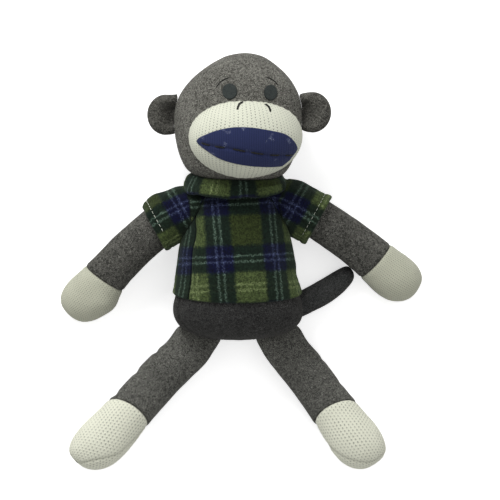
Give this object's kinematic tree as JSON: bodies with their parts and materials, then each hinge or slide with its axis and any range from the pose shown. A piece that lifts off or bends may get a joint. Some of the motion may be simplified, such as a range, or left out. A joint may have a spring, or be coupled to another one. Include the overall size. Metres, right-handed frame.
{
  "type": "sock monkey doll",
  "caption": "Soft sock monkey doll in a plaid pullover, lying on its back, with a turning head, folding ears, swinging arms, folding legs and a side tail.",
  "frame": {"origin": "on the flat patch under the back of the pullover, below the middle of the chest", "axes": "+Y from the feet towards the head, +Z out of the doll's front, +X to the right as the doll is seen from the front"},
  "size_m": [0.2895, 0.3332, 0.1072],
  "materials": {
    "fleece": "matt pebbled fleece",
    "cream_knit": "matt fine knit with lengthwise ribs",
    "lip_knit": "matt navy knit",
    "eye_felt": "matt charcoal felt",
    "plaid_flannel": "soft matt plaid flannel",
    "black_thread": "twisted embroidery thread",
    "white_thread": "twisted sewing thread",
    "stuffing": "loose polyester fibre filling"
  },
  "bodies": {
    "torso": {"torso_skin": "fleece", "torso_stuffing": "stuffing", "shirt_front": "plaid_flannel", "shirt_back": "plaid_flannel", "collar": "plaid_flannel"},
    "neck": {"neck": "fleece"},
    "head": {"head_skin": "fleece", "head_stuffing": "stuffing", "muzzle_skin": "cream_knit", "muzzle_stuffing": "stuffing", "lips": "lip_knit", "mouth_thread": "black_thread", "nostril_left": "black_thread", "nostril_right": "black_thread", "eye_left": "eye_felt", "eye_right": "eye_felt", "brow_left": "black_thread", "brow_right": "black_thread"},
    "ear_left": {"ear_back_left": "fleece", "ear_front_left": "fleece"},
    "shoulder_left": {"sleeve_left": "plaid_flannel", "sleeve_thread_left": "white_thread"},
    "arm_left": {"arm_skin_left": "fleece", "arm_stuffing_left": "stuffing", "hand_left": "cream_knit"},
    "leg_left": {"leg_skin_left": "fleece", "leg_stuffing_left": "stuffing", "foot_left": "cream_knit"},
    "ear_right": {"ear_back_right": "fleece", "ear_front_right": "fleece"},
    "shoulder_right": {"sleeve_right": "plaid_flannel", "sleeve_thread_right": "white_thread"},
    "arm_right": {"arm_skin_right": "fleece", "arm_stuffing_right": "stuffing", "hand_right": "cream_knit"},
    "leg_right": {"leg_skin_right": "fleece", "leg_stuffing_right": "stuffing", "foot_right": "cream_knit"},
    "tail": {"tail_skin": "fleece", "tail_stuffing": "stuffing"}
  },
  "joints": [
    {"name": "neck_nod", "type": "hinge", "parent": "torso", "child": "neck", "pos_m": [-0.0022, 0.06075, 0.038], "axis": [1, 0, 0], "range_deg": [-20, 20], "stiffness_Nm_per_rad": 0.12, "deforming": ["collar"]},
    {"name": "head_turn", "type": "hinge", "parent": "neck", "child": "head", "pos_m": [-0.0022, 0.06075, 0.038], "axis": [0, 1, 0], "range_deg": [-50, 30], "stiffness_Nm_per_rad": 0.05, "deforming": ["collar"]},
    {"name": "shoulder_swing_left", "type": "hinge", "parent": "torso", "child": "shoulder_left", "pos_m": [-0.05396, 0.0366, 0.033], "axis": [0, 0, -1], "range_deg": [-20, 83], "deforming": ["sleeve_left", "sleeve_thread_left"]},
    {"name": "arm_raise_left", "type": "hinge", "parent": "shoulder_left", "child": "arm_left", "pos_m": [-0.05396, 0.0366, 0.033], "axis": [-0.682, 0.7314, 0], "range_deg": [-8, 55], "deforming": ["sleeve_left", "sleeve_thread_left"]},
    {"name": "shoulder_swing_right", "type": "hinge", "parent": "torso", "child": "shoulder_right", "pos_m": [0.05056, 0.04236, 0.033], "axis": [0, 0, 1], "range_deg": [-3, 76], "deforming": ["sleeve_right", "sleeve_thread_right"]},
    {"name": "arm_raise_right", "type": "hinge", "parent": "shoulder_right", "child": "arm_right", "pos_m": [0.05056, 0.04236, 0.033], "axis": [-0.5721, -0.8201, 0], "range_deg": [-8, 55], "deforming": ["sleeve_right", "sleeve_thread_right"]},
    {"name": "hip_flex_left", "type": "hinge", "parent": "torso", "child": "leg_left", "pos_m": [-0.0352, -0.06284, 0.022], "axis": [-0.9511, 0.309, 0], "range_deg": [-20, 70]},
    {"name": "hip_flex_right", "type": "hinge", "parent": "torso", "child": "leg_right", "pos_m": [0.0352, -0.06284, 0.022], "axis": [-0.9511, -0.309, 0], "range_deg": [-20, 70]},
    {"name": "tail_swing", "type": "hinge", "parent": "torso", "child": "tail", "pos_m": [0.04603, -0.03636, 0.0085], "axis": [0, 0, 1], "range_deg": [-60, 3]},
    {"name": "ear_fold_left", "type": "hinge", "parent": "head", "child": "ear_left", "pos_m": [-0.05343, 0.11674, 0.044], "axis": [0, 1, 0], "range_deg": [-30, 30], "stiffness_Nm_per_rad": 0.005},
    {"name": "ear_fold_right", "type": "hinge", "parent": "head", "child": "ear_right", "pos_m": [0.0535, 0.11975, 0.044], "axis": [0, -1, 0], "range_deg": [-30, 30], "stiffness_Nm_per_rad": 0.005}
  ]
}
